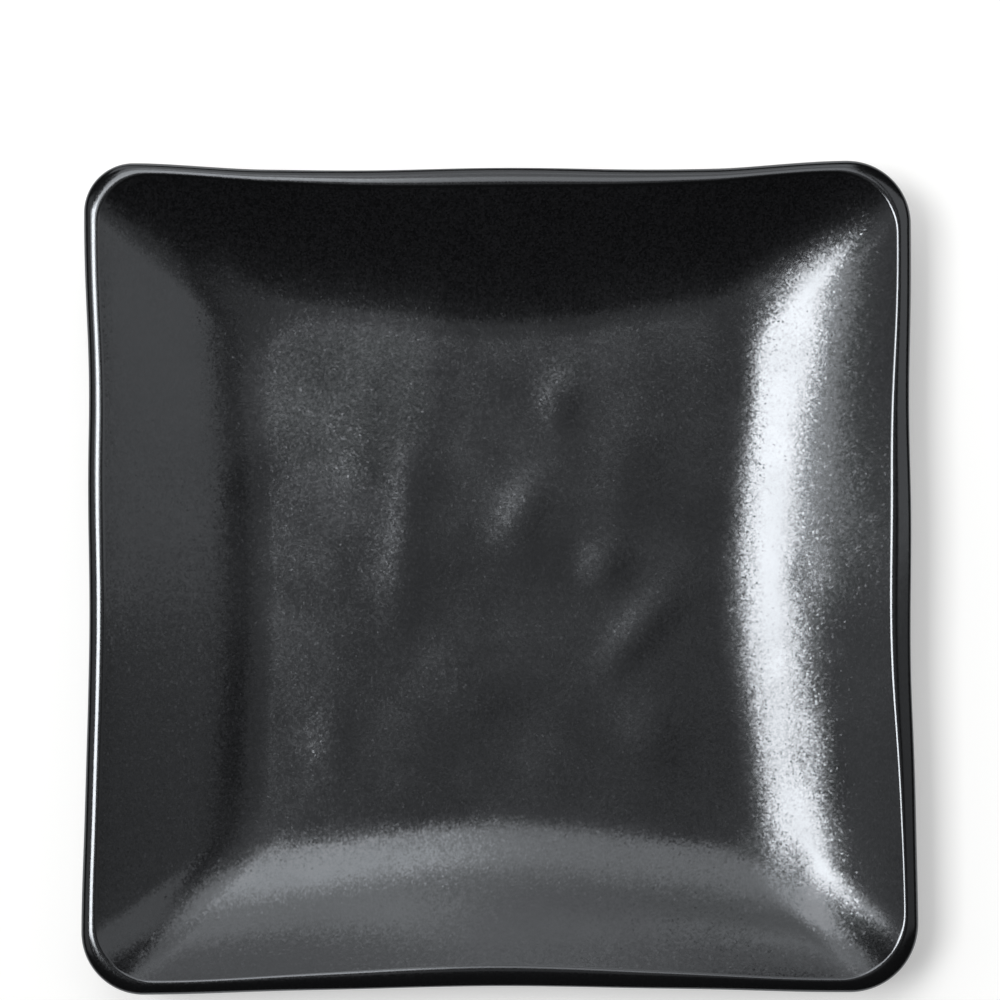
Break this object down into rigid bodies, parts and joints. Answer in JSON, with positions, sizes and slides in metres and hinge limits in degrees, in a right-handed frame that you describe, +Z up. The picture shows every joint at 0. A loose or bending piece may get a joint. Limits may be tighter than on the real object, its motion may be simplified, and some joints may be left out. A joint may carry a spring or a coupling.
{
  "type": "square dinner plate",
  "caption": "Square dinner plate with a flat well, concave sloping walls, a rolled lip, drawn-in sides and a square foot ring, in black glazed stoneware.",
  "frame": {"origin": "on the table surface, under the centre of the plate's outline", "axes": "+Z up out of the well, +X to the right and +Y to the back as the plate is seen from above"},
  "size_m": [0.26, 0.26, 0.0289],
  "materials": {
    "bare_stoneware": "matte, ground on the standing face",
    "satin_black_glaze": "satin with a fine metallic speckle",
    "gloss_black_glaze": "smooth gloss"
  },
  "bodies": {
    "root": {"clay_body": "bare_stoneware", "foot_ring": "bare_stoneware", "inner_glaze": "satin_black_glaze", "outer_glaze": "gloss_black_glaze", "base_glaze": "gloss_black_glaze"}
  },
  "joints": []
}
